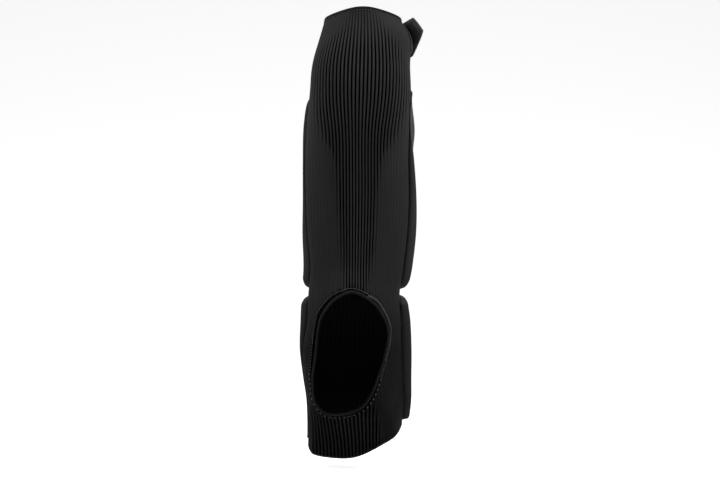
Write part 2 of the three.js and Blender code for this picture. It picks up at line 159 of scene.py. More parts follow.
def knit_normal(share, t):
    """The outward normal, from the cross product of the ways round and along."""
    round_it = on_knit(share + 0.01, t) - on_knit(share - 0.01, t)
    along = on_knit(share, t + 0.02) - on_knit(share, t - 0.02)
    normal = np.cross(along, round_it)
    return normal / np.linalg.norm(normal, axis=-1, keepdims=True)


HEEL_WIDE = 0.7333 * BREADTH
HEEL_TALL = 0.2866 * HEIGHT
HEEL_MIDDLE = (0.05 * BREADTH, -0.0751 * HEIGHT)
HEEL_LINE = np.array([
    (0.07, 0.500), (0.27, 0.440), (0.41, 0.345), (0.515, 0.185), (0.47, -0.025), (0.385, -0.195),
    (0.28, -0.350), (0.13, -0.450), (-0.15, -0.500), (-0.36, -0.480), (-0.480, -0.380),
    (-0.50, -0.190), (-0.46, -0.010), (-0.43, 0.155), (-0.38, 0.295), (-0.24, 0.420), (-0.08, 0.485),
])


def heel_outline(count):
    """The heel opening in the back view: a smooth closed curve through the points of its table."""
    at = np.arange(count) / count * len(HEEL_LINE)
    k = np.floor(at).astype(int)
    s = (at - k)[:, None]
    before, here, after, later = (HEEL_LINE[(k + i) % len(HEEL_LINE)] for i in (-1, 0, 1, 2))
    leave, arrive, step = (after - before) / 2, (later - here) / 2, after - here
    out, up = (here + s * (leave + s * (3 * step - 2 * leave - arrive
                                        + s * (leave + arrive - 2 * step)))).T
    return HEEL_MIDDLE[0] - out * HEEL_WIDE, HEEL_MIDDLE[1] + up * HEEL_TALL


def behind(x, z):
    """The places (share, t) on the back of the sleeve at x and z of the back view: the nearest of
    a coarse grid, then six Newton steps."""
    coarse = np.meshgrid(np.linspace(-0.98, 0.98, 120), np.linspace(1.5, 7.5, 120))
    share, t = (a.ravel() for a in coarse)
    grid = on_knit(share, t)
    nearest = np.array([np.argmin((grid[:, 0] - a) ** 2 + (grid[:, 2] - b) ** 2) for a, b in zip(x, z)])
    share, t = share[nearest], t[nearest]
    for _ in range(6):
        here = on_knit(share, t)
        side = (on_knit(share + 0.01, t) - here) / 0.01
        rise = (on_knit(share, t + 0.05) - here) / 0.05
        dx, dz = x - here[:, 0], z - here[:, 2]
        det = side[:, 0] * rise[:, 2] - rise[:, 0] * side[:, 2]
        share = share + np.clip((dx * rise[:, 2] - rise[:, 0] * dz) / det, -0.1, 0.1)
        t = t + np.clip((side[:, 0] * dz - dx * side[:, 2]) / det, -0.3, 0.3)
    return share, t


HEEL_STEPS = 720
heel_share, heel_t = behind(*heel_outline(HEEL_STEPS))
heel_edge = on_knit(heel_share, heel_t, -WALL / 2)
heel_normal = knit_normal(heel_share, heel_t)
heel_ahead = np.roll(heel_edge, -1, axis=0) - np.roll(heel_edge, 1, axis=0)
heel_inward = np.cross(heel_normal, heel_ahead)
heel_inward /= np.linalg.norm(heel_inward, axis=1, keepdims=True)
heel_from_middle = heel_edge - heel_edge.mean(axis=0)
heel_inward *= -np.sign(np.sum(heel_inward * heel_from_middle, axis=1, keepdims=True))

BACK_RIBS = 33
BACK_STEPS = 6
FRONT_RIBS = 26
FRONT_STEPS = 4
RIB_DEPTH = 0.0016
OPEN_ZONE = np.array([
    # height, how far the ribs stand open to the outer side, and to the inner side
    (-0.330, -0.25, 0.42), (-0.240, -0.24, 0.44), (-0.200, -0.20, 0.42), (-0.150, 0.00, 0.30),
    (0.000, 0.00, 0.10),
    (0.080, -0.13, 0.10), (0.160, -0.19, 0.14), (0.265, -0.205, 0.165), (0.355, -0.25, 0.19),
    (0.390, -0.35, 0.28), (0.420, -0.42, 0.34), (0.490, -0.50, 0.39), (0.575, -0.47, 0.39),
    (0.610, -0.40, 0.28), (0.640, -0.28, 0.11), (0.690, -0.19, 0.05),
])
RIB_LAYOUT = np.array([
    # height, where the middle rib runs, and how widely the middle ribs are spaced
    (-0.330, -0.085, 1.12), (-0.290, -0.085, 1.14), (-0.255, -0.085, 1.20), (-0.225, -0.080, 1.26),
    (-0.180, -0.075, 1.26), (-0.100, -0.040, 1.10), (0.000, -0.015, 0.95),
    (0.091, -0.013, 0.94), (0.178, -0.018, 0.91), (0.265, -0.022, 0.90), (0.405, -0.019, 0.88),
    (0.437, -0.019, 0.96), (0.470, -0.021, 1.09), (0.545, -0.026, 1.18), (0.589, -0.033, 1.17),
    (0.621, -0.040, 1.07), (0.660, -0.047, 1.05), (0.690, -0.050, 1.04),
])


def between(table, column, height, soft):
    """A column of a table at some heights, averaged over soft to either side."""
    return sum(np.interp(height + k * soft / 2, table[:, 0], table[:, column]) for k in range(-2, 3)) / 5


def rib_openness(points):
    """1 where the ribs stand apart over the calf and under the sole, less just below the knee hem,
    and 0 where they lie closed."""
    height = points[..., 2] / HEIGHT
    out = between(OPEN_ZONE, 1, height, 0.012) * BREADTH
    within = between(OPEN_ZONE, 2, height, 0.012) * BREADTH
    soft = 0.008
    open_side = ease((points[..., 0] - out) / soft + 0.5) * ease((within - points[..., 0]) / soft + 0.5)
    return open_side * (1 - 0.45 * ease((height - 0.59) / 0.08))


def mesh_object(name, points, faces, uv=None, shades=None, lap=0):
    """A mesh object from arrays of points and quads, with a uv place and two shades for every point.
    Where a face joins the last column to the first, lap is added to the first one's u."""
    mesh = bpy.data.meshes.new(name)
    mesh.vertices.add(len(points))
    mesh.vertices.foreach_set("co", np.asarray(points, np.float32).ravel())
    mesh.loops.add(faces.size)
    mesh.loops.foreach_set("vertex_index", faces.ravel().astype(np.int32))
    mesh.polygons.add(len(faces))
    mesh.polygons.foreach_set("loop_start", np.arange(0, faces.size, faces.shape[1], dtype=np.int32))
    mesh.polygons.foreach_set("loop_total", np.full(len(faces), faces.shape[1], np.int32))
    mesh.update(calc_edges=True)
    mesh.polygons.foreach_set("use_smooth", np.ones(len(faces), bool))
    if uv is not None:
        layer = mesh.uv_layers.new(name="cloth")
        place = np.asarray(uv, np.float32)[faces]
        if lap:
            place[..., 0] += lap * (place[..., 0].max(axis=1, keepdims=True) - place[..., 0] > lap / 2)
        layer.data.foreach_set("uv", place.ravel())
    if shades is not None:
        # open holds how far the ribs stand open; edge holds painted shade, on the turned strip by the
        # heel opening and along the pad seams.
        for k, title in enumerate(("open", "edge")):
            attribute = mesh.attributes.new(title, "FLOAT", "POINT")
            attribute.data.foreach_set("value", np.ascontiguousarray(shades[:, k], np.float32))
    mesh.validate()
    piece = bpy.data.objects.new(name, mesh)
    bpy.context.scene.collection.objects.link(piece)
    return piece


def grid_faces(rows, columns, wrap):
    """The quads of a grid of points, row after row, with the last column joined to the first."""
    j, i = np.meshgrid(np.arange(rows - 1), np.arange(columns if wrap else columns - 1), indexing="ij")
    after = (i + 1) % columns
    return np.stack([j * columns + i, j * columns + after, (j + 1) * columns + after,
                     (j + 1) * columns + i], axis=-1).reshape(-1, 4)


def shell(name, outer, inner, faces, uv, shades=None, lap=0):
    """A closed body from an outer and an inner sheet with the same faces. Each edge that only one
    face uses is a free edge, and gets a quad from the outer sheet to the inner one."""
    count = len(outer)
    edges = np.concatenate([faces[:, [k, (k + 1) % 4]] for k in range(4)])
    key = np.sort(edges, axis=1)
    _, first, uses = np.unique(key, axis=0, return_index=True, return_counts=True)
    free = edges[first[uses == 1]]
    rim = np.stack([free[:, 1], free[:, 0], free[:, 0] + count, free[:, 1] + count], axis=1)
    all_faces = np.concatenate([faces, faces[:, ::-1] + count, rim])
    points = np.concatenate([outer, inner])
    used = np.unique(all_faces)
    fresh = np.full(len(points), -1)
    fresh[used] = np.arange(len(used))
    doubled = None if shades is None else np.concatenate([shades, shades])[used]
    place = np.concatenate([uv, uv])[used]
    return mesh_object(name, points[used], fresh[all_faces], place, doubled, lap)


def turned_width(at):
    """How far out from the heel line the knit is turned in, at places along it: a narrow strip, wide
    on the inner side of the heel and under the overlock stitches. The strip is painted dark as shade."""
    return np.interp(at, (0, 0.7, 1.2, 3.8, 4.4, 10.5, 12, 14, 15.5, 16.5, 17),
                     (0.0012, 0.0014, 0.0036, 0.0036, 0.0016, 0.0012,
                      0.0044, 0.0050, 0.0034, 0.0016, 0.0012))


def turned_edge_shade(points):
    """Painted shade: 1 near the heel opening, where the knit turns in to its edge and lies in shade,
    else 0.
    """
    wide = turned_width(np.arange(HEEL_STEPS) / HEEL_STEPS * len(HEEL_LINE))
    shade = np.zeros(len(points))
    low, high = heel_edge.min(axis=0) - 0.012, heel_edge.max(axis=0) + 0.012
    near = np.flatnonzero(((points > low) & (points < high)).all(axis=1))
    away = np.linalg.norm(points[near, None] - heel_edge[None, ::4], axis=2)
    nearest = away.argmin(axis=1)
    shade[near] = 1 - ease((away.min(axis=1) - wide[::4][nearest]) / 0.0015)
    return shade


def make_sleeve():
    """A grid of columns round the sleeve, six to each rib of the back, and rows along it. The middle
    ribs run where the layout says, the outer ones follow the pad seams. Between the ribs the columns
    sink, deep where the ribs stand open. The faces inside the heel line are left out, and the
    points beside them are moved onto it."""
    ribs = np.concatenate([np.arange(BACK_RIBS * BACK_STEPS) / BACK_STEPS,
                           BACK_RIBS + np.arange(FRONT_RIBS * FRONT_STEPS) / FRONT_STEPS])
    t = np.linspace(0, TOP, 131)
    even = np.where(ribs < BACK_RIBS, -1 + 2 * ribs / BACK_RIBS,
                    1 + 2 * (ribs - BACK_RIBS) / FRONT_RIBS)
    middle = on_knit(0, t)
    height = middle[:, 2] / HEIGHT
    spacing = between(RIB_LAYOUT, 2, height, 0.03)[:, None]
    lean = between(RIB_LAYOUT, 1, height, 0.03) * BREADTH - middle[:, 0]
    lean = (lean / (on_knit(0.9, t)[:, 0] - on_knit(-0.9, t)[:, 0]) * 1.8)[:, None]
    back = spacing * even + (1 - spacing) * even ** 3 + lean * (1 - even ** 2)
    share = np.where(even > 1, even, back)
    t, ribs = np.meshgrid(t, ribs, indexing="ij")
    columns = share.shape[1]
    place = toe_station(share, t)
    smooth = on_knit(share, place)
    openness = np.where(share > 1, 0.25, rib_openness(smooth))
    wave = ease((0.5 - np.abs(np.mod(ribs, 1) - 0.5)) / 0.5 * 1.5 - 0.25)
    depth = RIB_DEPTH * (0.15 + 0.85 * openness)
    flat_edge = ease(t / 0.1) * ease((TOP - t) / 0.1)
    lift = -depth * (1 - wave) * (0.25 + 0.75 * flat_edge)
    outer = on_knit(share, place, lift).reshape(-1, 3)
    inner = on_knit(share, place, -WALL + 0.1 * lift).reshape(-1, 3)
    faces = grid_faces(len(t), columns, True)
    edge = heel_edge + heel_inward * 0.0012
    x, z = outer[:, 0], outer[:, 2]
    ex, ez = edge[:, 0], edge[:, 2]
    nx, nz = np.roll(ex, -1), np.roll(ez, -1)
    inside = np.zeros(len(outer), bool)
    near = (np.abs(share.ravel()) < 1) & (t.ravel() < 8) & (x > ex.min()) & (x < ex.max())
    near &= (z > ez.min()) & (z < ez.max())
    px, pz = x[near][:, None], z[near][:, None]
    rise = np.where(nz == ez, 1e-12, nz - ez)
    crossing = ((ez > pz) != (nz > pz)) & (px < (nx - ex) * (pz - ez) / rise + ex)
    inside[near] = crossing.sum(axis=1) % 2 == 1
    kept = faces[~inside[faces].any(axis=1)]
    gone = faces[inside[faces].any(axis=1)]
    beside = np.intersect1d(np.unique(kept), np.unique(gone))
    nearest = np.array([np.argmin(np.sum((edge - p) ** 2, axis=1)) for p in outer[beside]])
    move = edge[nearest] - (outer[beside] + inner[beside]) / 2
    outer[beside] += move
    inner[beside] += move
    uv = np.stack([ribs.ravel(), (t * HEIGHT * 1.25 / TOP).ravel() * 1000], axis=1)
    # The second shade is painted shade on the turned strip by the heel opening.
    shades = np.stack([openness.ravel(), turned_edge_shade(outer)], axis=1)
    return shell("sleeve", outer, inner, kept[:, ::-1], uv, shades, BACK_RIBS + FRONT_RIBS)


sleeve = make_sleeve()


def shader(name):
    """A new material, its node tree and its shader node."""
    material = bpy.data.materials.new(name)
    material.use_nodes = True
    tree = material.node_tree
    return material, tree, tree.nodes["Principled BSDF"]


def node(tree, kind, links=(), **settings):
    """A node with its settings, whose inputs are values or other nodes' outputs."""
    made = tree.nodes.new(kind)
    for key, value in settings.items():
        setattr(made, key, value)
    for socket, value in dict(links).items():
        if isinstance(value, bpy.types.NodeSocket):
            tree.links.new(value, made.inputs[socket])
        else:
            made.inputs[socket].default_value = value
    return made


def calc(tree, operation, a, b=0.0, c=0.0):
    """The result of a sum that is made with nodes."""
    return node(tree, "ShaderNodeMath", {0: a, 1: b, 2: c}, operation=operation).outputs[0]


def noise(tree, place, scale, detail):
    """Smooth noise at a place, from 0 to 1."""
    made = node(tree, "ShaderNodeTexNoise", {"Vector": place, "Scale": scale, "Detail": detail})
    return made.outputs["Fac"]


def knit_material():
    """Rib knit: charcoal yarn in rows of small slanted stitches along each rib. The grooves between
    the ribs are painted nearly black as shade where the ribs stand open, and hardly show where they
    lie closed; the turned strip round the heel opening is painted dark as shade too. The foot is
    painted darker, as shade where the light falls off towards the bottom."""
    material, tree, skin = shader("rib_knit")
    openness = node(tree, "ShaderNodeAttribute", attribute_name="open").outputs["Fac"]
    # Painted shade on the turned strip round the heel opening.
    turn_shade = node(tree, "ShaderNodeAttribute", attribute_name="edge").outputs["Fac"]
    place = node(tree, "ShaderNodeUVMap", uv_map="cloth").outputs[0]
    split = node(tree, "ShaderNodeSeparateXYZ", {0: place})
    across = calc(tree, "PINGPONG", split.outputs[0], 0.5)
    groove = node(tree, "ShaderNodeMapRange", {0: across, 1: 0.17, 2: 0.30, 3: 1.0, 4: 0.0},
                  interpolation_type="SMOOTHSTEP").outputs[0]
    rows = calc(tree, "ADD", calc(tree, "MULTIPLY", split.outputs[1], 1 / 1.5),
                calc(tree, "MULTIPLY", across, 1.4))
    stitch = calc(tree, "SINE", calc(tree, "MULTIPLY", rows, 2 * math.pi))
    here = node(tree, "ShaderNodeTexCoord").outputs["Object"]
    fuzz = noise(tree, here, 900.0, 3.0)
    blotch = noise(tree, here, 35.0, 2.0)
    shown = calc(tree, "ADD", calc(tree, "MULTIPLY", openness, 0.94), 0.06)
    # Painted shade: the grooves between the ribs go nearly black where the ribs stand open.
    dark = calc(tree, "MULTIPLY", groove, shown)
    # The turned strip by the heel opening is painted dark as shade too.
    dark = calc(tree, "MAXIMUM", dark, calc(tree, "MULTIPLY", turn_shade, 0.9))
    # The ramp runs from the charcoal of the yarn to the near black of the painted shade.
    ramp = node(tree, "ShaderNodeValToRGB", {0: dark})
    ramp.color_ramp.elements[0].color = (0.0165, 0.0165, 0.0168, 1)
    ramp.color_ramp.elements[1].color = (0.0004, 0.0004, 0.0004, 1)
    stretch = calc(tree, "ADD", calc(tree, "MULTIPLY", openness, 0.45), 0.60)
    uneven = calc(tree, "ADD", calc(tree, "MULTIPLY", fuzz, 0.35), calc(tree, "MULTIPLY", blotch, 0.35))
    shade = calc(tree, "ADD", calc(tree, "MULTIPLY", stitch, 0.12), uneven)
    mix = node(tree, "ShaderNodeMix", {"Factor": 1.0}, data_type="RGBA", blend_type="MULTIPLY")
    tree.links.new(ramp.outputs[0], mix.inputs[6])
    height = node(tree, "ShaderNodeSeparateXYZ", {0: here}).outputs[2]
    # Painted shade: the knit gets darker towards the foot, for the light that falls off downward.
    foot_shade = node(tree, "ShaderNodeMapRange",
                 {0: height, 1: -0.035, 2: 0.03, 3: 0.53, 4: 1.0}).outputs[0]
    tree.links.new(calc(tree, "MULTIPLY", calc(tree, "ADD", shade, stretch), foot_shade), mix.inputs[7])
    tree.links.new(mix.outputs[2], skin.inputs["Base Color"])
    # Specular and sheen are weakened by the same painted shade of the grooves and the foot.
    glow = calc(tree, "MULTIPLY", calc(tree, "SUBTRACT", 0.12, calc(tree, "MULTIPLY", dark, 0.12)),
                calc(tree, "MULTIPLY", calc(tree, "ADD", stretch, 0.35), foot_shade))
    tree.links.new(glow, skin.inputs["Specular IOR Level"])
    tree.links.new(calc(tree, "MULTIPLY", glow, 0.24), skin.inputs["Sheen Weight"])
    relief = calc(tree, "ADD", calc(tree, "MULTIPLY", stitch, 0.5), calc(tree, "MULTIPLY", fuzz, 0.6))
    bump = node(tree, "ShaderNodeBump", {"Height": relief, "Strength": 0.35, "Distance": 0.0004})
    tree.links.new(bump.outputs[0], skin.inputs["Normal"])
    skin.inputs["Roughness"].default_value = 0.92
    skin.inputs["Sheen Roughness"].default_value = 0.5
    return material


sleeve.data.materials.append(knit_material())
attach(sleeve, "root")
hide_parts("knit_sock")


# The hems: at the knee and at the toes the edge of the knit is turned in and sewn down with a
# fine line of stitches. Round the heel it is bound, with slanted overlock stitches above and a
# row of wide stitches round the bottom.
HEM_WIDTH = 0.0034
HEM_THICK = 0.0022
FIT = 0.0004


def ring_body(name, edge, away, normal, start=FIT):
    """A band round a closed edge: its section is a flat oval, as wide as the hem in the direction
    away from the edge. v is 0 at its free edge and 0.5 at the knit."""
    turn = np.linspace(0, 2 * np.pi, 12, endpoint=False)
    u = np.sign(np.cos(turn)) * np.abs(np.cos(turn)) ** 0.7 * HEM_WIDTH / 2 + start + HEM_WIDTH / 2
    v = np.sign(np.sin(turn)) * np.abs(np.sin(turn)) ** 0.7 * HEM_THICK / 2
    points = edge[None] + away[None] * u[:, None, None] + normal[None] * v[:, None, None]
    faces = grid_faces(13, len(edge), True) % (12 * len(edge))
    step = np.linalg.norm(np.roll(edge, -1, axis=0) - edge, axis=1)
    long = np.concatenate([[0], np.cumsum(step)[:-1]]) * 1000
    half = np.minimum(np.arange(12), 12 - np.arange(12)) / 12
    place = np.stack(np.broadcast_arrays(long[None, :], half[:, None]), axis=-1)
    return outwards(mesh_object(name, points.reshape(-1, 3), faces, place.reshape(-1, 2)))


def outwards(piece):
    """Turns the faces of a closed piece outwards, by the sign of its volume."""
    mesh = piece.data
    points = np.empty(len(mesh.vertices) * 3)
    mesh.vertices.foreach_get("co", points)
    points = points.reshape(-1, 3)
    mesh.calc_loop_triangles()
    tri = np.empty(len(mesh.loop_triangles) * 3, np.int32)
    mesh.loop_triangles.foreach_get("vertices", tri)
    a, b, c = (points[tri.reshape(-1, 3)[:, k]] for k in range(3))
    if np.sum(a * np.cross(b, c)) < 0:
        mesh.flip_normals()
    return piece


def unit(vectors):
    """The same directions with length 1."""
    return vectors / np.linalg.norm(vectors, axis=-1, keepdims=True)


def end_edge(t, count):
    """The last ring of the knit at the toes or the knee, the way off it, and its normal."""
    share = -1 + 4 * np.arange(count) / count
    place = toe_station(share, np.full(count, float(t)))
    edge = on_knit(share, place, -WALL / 2)
    s = stations_at(np.array(0.5 if t == 0 else float(TOP)))
    away = unit(np.array([0.0, s["back_z"] - s["front_z"], s["front_y"] - s["back_y"]]))
    away = away if (away[2] < 0) == (t == 0) else -away
    normal = on_knit(share, place, 0.0) - edge
    return edge, np.broadcast_to(away, edge.shape), unit(normal)


def stitches(name, starts, ends, normal, radius):
    """Short threads: each runs in a low bow from its start to its end, as a tube with seven rings
    of six points, thinner at both ends, which are closed."""
    s = np.linspace(0, 1, 7)
    path = starts[:, None] + s[None, :, None] * (ends - starts)[:, None]
    path = path + normal[:, None] * (6.4 * radius[:, None] * s * (1 - s))[..., None]
    side = unit(np.cross(ends - starts, normal))[:, None, None]
    turn = np.linspace(0, 2 * np.pi, 6, endpoint=False)[:, None]
    thick = (radius[:, None] * (0.35 + 0.65 * np.sqrt(np.abs(np.sin(np.pi * s)))))[..., None, None]
    points = path[:, :, None] + thick * (np.cos(turn) * side + np.sin(turn) * normal[:, None, None])
    caps = np.array([(3, 2, 1, 0), (5, 4, 3, 0), (36, 37, 38, 39), (36, 39, 40, 41)])
    one = np.concatenate([grid_faces(7, 6, True), caps])
    faces = (one[None] + 42 * np.arange(len(starts))[:, None, None]).reshape(-1, 4)
    return outwards(mesh_object(name, points.reshape(-1, 3), faces))


def along_edge(edge, *others, spacing, first=0.0, last=1.0):
    """Places at even steps of length along a closed edge, between two shares of its points."""
    closed = np.concatenate([edge, edge[:1]])
    length = np.concatenate([[0], np.cumsum(np.linalg.norm(np.diff(closed, axis=0), axis=1))])
    low, high = np.interp([first, last], np.linspace(0, 1, len(length)), length)
    at = np.linspace(low, high, int(round((high - low) / spacing)), endpoint=False)
    return [np.stack([np.interp(at, length, np.append(a[:, k], a[0, k])) for k in range(3)], axis=-1)
            for a in (edge, *others)]


def hem_material():
    """Binding of the hems: yarn across the hem, painted black towards its free edge as shade at the rim.
    """
    material, tree, skin = shader("hem_binding")
    place = node(tree, "ShaderNodeUVMap", uv_map="cloth").outputs[0]
    split = node(tree, "ShaderNodeSeparateXYZ", {0: place})
    yarn = calc(tree, "SINE", calc(tree, "MULTIPLY", split.outputs[0], 2 * math.pi / 0.9))
    here = node(tree, "ShaderNodeTexCoord").outputs["Object"]
    fuzz = noise(tree, here, 1100.0, 3.0)
    # Painted shade: the binding goes black towards its free edge, at the rim of the opening.
    inner = node(tree, "ShaderNodeMapRange",
                 {0: split.outputs[1], 1: 0.17, 2: 0.26, 3: 0.0, 4: 1.0}).outputs[0]
    light = calc(tree, "MULTIPLY", calc(tree, "ADD", fuzz, 0.3), inner)
    ramp = node(tree, "ShaderNodeValToRGB", {0: light})
    ramp.color_ramp.elements[0].color = (0.0012, 0.0012, 0.0012, 1)
    ramp.color_ramp.elements[1].color = (0.016, 0.016, 0.0163, 1)
    tree.links.new(ramp.outputs[0], skin.inputs["Base Color"])
    bump = node(tree, "ShaderNodeBump", {"Height": calc(tree, "ADD", yarn, fuzz), "Strength": 0.4,
                                         "Distance": 0.0003})
    tree.links.new(bump.outputs[0], skin.inputs["Normal"])
    skin.inputs["Roughness"].default_value = 0.9
    skin.inputs["Specular IOR Level"].default_value = 0.12
    return material


def thread_material(name, tone):
    """Polyester thread, twisted, with a slight shine."""
    material, tree, skin = shader(name)
    here = node(tree, "ShaderNodeTexCoord").outputs["Object"]
    twist = noise(tree, here, 1500.0, 2.0)
    ramp = node(tree, "ShaderNodeValToRGB", {0: twist})
    ramp.color_ramp.elements[0].color = (0.6 * tone, 0.6 * tone, 0.6 * tone, 1)
    ramp.color_ramp.elements[1].color = (1.4 * tone, 1.4 * tone, 1.42 * tone, 1)
    tree.links.new(ramp.outputs[0], skin.inputs["Base Color"])
    skin.inputs["Roughness"].default_value = 0.6
    return material


binding = hem_material()
fine_thread = thread_material("fine_thread", 0.020)
heel_thread = thread_material("heel_thread", 0.110)
hem_pieces = []
for name, t in (("knee_hem", TOP), ("toe_hem", 0)):
    edge, away, normal = end_edge(t, 360)
    hem_pieces.append((ring_body(name + "_band", edge, away, normal, 0.0), name, binding))
    place, off, up = along_edge(edge, away, normal, spacing=0.0024)
    on = place - off * 0.0006 + up * (WALL / 2 + 0.0001)
    fine = np.full(len(on), 0.00028)
    row = stitches(name + "_stitches", on, np.roll(on, -1, axis=0), up, fine)
    hem_pieces.append((row, name, fine_thread))

heel_band = ring_body("heel_hem_band", heel_edge, heel_inward, heel_normal)
hem_pieces.append((heel_band, "heel_hem", binding))
RUNS = np.array([
    # first and last point of the heel line, spacing, start and end out from the turned strip, shift,
    # half the thread's thickness
    (0.8, 4.2, 2.2, -3.0, 0.5, 1.0, 0.36), (4.2, 5.0, 2.6, -0.6, 1.2, 0.6, 0.34),
    (5.0, 11.2, 5.9, 1.3, 1.5, 1.9, 0.50), (11.2, 12.4, 3.6, 0.6, 0.9, 1.0, 0.36),
    (12.4, 17.0, 2.4, 0.3, 0.6, 2.0, 0.26), (0.0, 0.8, 2.4, 0.3, 0.6, 2.0, 0.26),
])
ends, thickness = [[], []], []
for first, last, spacing, near, far, shift, thick in RUNS:
    place, inward, up = along_edge(heel_edge, heel_inward, heel_normal, spacing=spacing / 1000,
                                   first=first / len(HEEL_LINE), last=last / len(HEEL_LINE))
    ahead = unit(np.gradient(place, axis=0))
    wide = turned_width(np.linspace(first, last, len(place)))[:, None]
    ends[0].append(place - inward * (wide + near / 1000))
    ends[1].append(place - inward * (wide + far / 1000) + ahead * shift / 1000)
    thickness.append(np.full(len(place), thick / 1000))
ends = [np.concatenate(part) for part in ends]
spots = [behind(part[:, 0], part[:, 2]) for part in ends]
ends = [on_knit(share, t, 0.00015) for share, t in spots]
heel_stitches = stitches("heel_hem_stitches", *ends, knit_normal(*spots[0]), np.concatenate(thickness))
hem_pieces.append((heel_stitches, "heel_hem", heel_thread))
for piece, name, finish in hem_pieces:
    piece.data.materials.append(finish)
    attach(piece, "root")
    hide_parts(name)


# The pads: foam in a cloth cover, sewn to the knit along both sides, one on the shin and one on
# the instep. Each is thin along its sewn edge and full in the middle.
PAD_FIT = 0.0008
PAD_LIP = 0.0022
PAD_FLAT = 0.012
PAD_SLOPE = 0.034
PAD_END_SLOPE = 0.016
SHIN_TOP_SLOPE = 0.055


def make_pad(name, low, high, corner, foot, middle, top_slope, rows, columns):
    """A grid round the front of the knit and along it, with rounded corners. Its height over the
    knit is a lip along the sewn edge, swells in from the sides and the ends, and is full in the
    middle; the under side lies on the knit."""
    even = np.linspace(0, 1, columns)
    share = 2 + 0.988 * (0.3 * (2 * even - 1) - 0.7 * np.cos(np.pi * even))
    row = 0.5 - 0.5 * np.cos(np.pi * np.linspace(0, 1, rows))
    row, share = np.meshgrid(row, share, indexing="ij")
    to_side = 1 - np.abs(share - 2)
    rounding = 1 - np.sqrt(1 - np.clip(1 - to_side / 0.3, 0, 1) ** 2 * 0.98)
    bottom = toe_station(share, np.full(share.shape, low)) + foot * rounding
    t = bottom + row * (high - corner * rounding - bottom)
    reach = BREADTH * 0.85 * to_side
    long = (high - low) * HEIGHT / TOP
    end = np.minimum(row, 1 - row) * long
    swell = ease((reach - PAD_FLAT) / PAD_SLOPE) * ease((row * long + 0.004) / PAD_END_SLOPE)
    swell = swell * ease(((1 - row) * long + 0.004) / top_slope)
    s = stations_at(t)
    stand = s["inner_edge"] + (s["edge"] - s["inner_edge"]) * ease(share - 1.5)
    edge = stand * ease((end + 0.008) / PAD_END_SLOPE) * ease((reach + 0.003) / 0.007)
    rim = ease((reach + 0.0002) / 0.003) * ease((end + 0.0002) / 0.003)
    height = (PAD_LIP * (0.15 + 0.85 * rim) + edge * np.where(edge > 0, rim, 1)
              + swell * np.maximum(0, middle - PAD_LIP - edge))
    # Painted shade: dark where the pad sits low along its sewn edges, for the shade in the seam.
    seam_shade = (1 - ease((height - 0.0009) / 0.0010)) * (1 - ease((np.minimum(reach, end) - 0.003) / 0.001))
    outer = on_knit(share, t, PAD_FIT + height).reshape(-1, 3)
    inner = on_knit(share, t, PAD_FIT * 0.2).reshape(-1, 3)
    uv = np.stack([(share * 90).ravel(), (t * HEIGHT * 1.25 / TOP).ravel() * 1000], axis=1)
    faces = grid_faces(rows, columns, False)
    shades = np.stack([np.zeros(seam_shade.size), seam_shade.ravel()], axis=1)
    return outwards(shell(name, outer, inner, faces, uv, shades))


def pad_material():
    """Cover of the pads: fine jersey, its stitches in close columns, with a soft sheen, and painted
    shade that darkens it down in the sewn line."""
    material, tree, skin = shader("pad_cover")
    sewn_line_shade = node(tree, "ShaderNodeAttribute", attribute_name="edge").outputs["Fac"]
    place = node(tree, "ShaderNodeUVMap", uv_map="cloth").outputs[0]
    split = node(tree, "ShaderNodeSeparateXYZ", {0: place})
    column = calc(tree, "SINE", calc(tree, "MULTIPLY", split.outputs[0], 2 * math.pi / 1.1))
    slant = calc(tree, "PINGPONG", calc(tree, "MULTIPLY", split.outputs[0], 1 / 1.1), 0.5)
    slanted = calc(tree, "ADD", split.outputs[1], slant)
    rows = calc(tree, "SINE", calc(tree, "MULTIPLY", slanted, 2 * math.pi))
    here = node(tree, "ShaderNodeTexCoord").outputs["Object"]
    fuzz = noise(tree, here, 900.0, 3.0)
    blotch = noise(tree, here, 28.0, 3.0)
    uneven = calc(tree, "ADD", calc(tree, "MULTIPLY", fuzz, 0.5), calc(tree, "MULTIPLY", blotch, 0.5))
    ramp = node(tree, "ShaderNodeValToRGB", {0: uneven})
    ramp.color_ramp.elements[0].color = (0.015, 0.015, 0.0152, 1)
    ramp.color_ramp.elements[1].color = (0.033, 0.033, 0.0335, 1)
    # The sewn line is painted near black as shade.
    mix = node(tree, "ShaderNodeMix", {"Factor": calc(tree, "MULTIPLY", sewn_line_shade, 0.95)}, data_type="RGBA")
    tree.links.new(ramp.outputs[0], mix.inputs[6])
    mix.inputs[7].default_value = (0.001, 0.001, 0.001, 1)
    tree.links.new(mix.outputs[2], skin.inputs["Base Color"])
    relief = calc(tree, "ADD", calc(tree, "MULTIPLY", calc(tree, "ADD", column, rows), 0.3), fuzz)
    bump = node(tree, "ShaderNodeBump", {"Height": relief, "Strength": 0.3, "Distance": 0.0003})
    tree.links.new(bump.outputs[0], skin.inputs["Normal"])
    skin.inputs["Roughness"].default_value = 0.9
    skin.inputs["Sheen Weight"].default_value = 0.08
    skin.inputs["Sheen Roughness"].default_value = 0.45
    skin.inputs["Specular IOR Level"].default_value = 0.3
    return material


pad_cover = pad_material()
shin = make_pad("shin_pad_cover", low=0.4053 * TOP, high=0.812 * TOP, corner=0.055 * TOP,
                foot=0.040 * TOP, middle=0.015, top_slope=SHIN_TOP_SLOPE, rows=150, columns=130)
instep = make_pad("instep_pad_cover", low=0.002 * TOP, high=0.3967 * TOP, corner=0.028 * TOP,
                  foot=0.012 * TOP, middle=0.012, top_slope=PAD_END_SLOPE, rows=130, columns=130)
for piece, name in ((shin, "shin_pad"), (instep, "instep_pad")):
    piece.data.materials.append(pad_cover)
    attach(piece, "root")
    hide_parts(name)


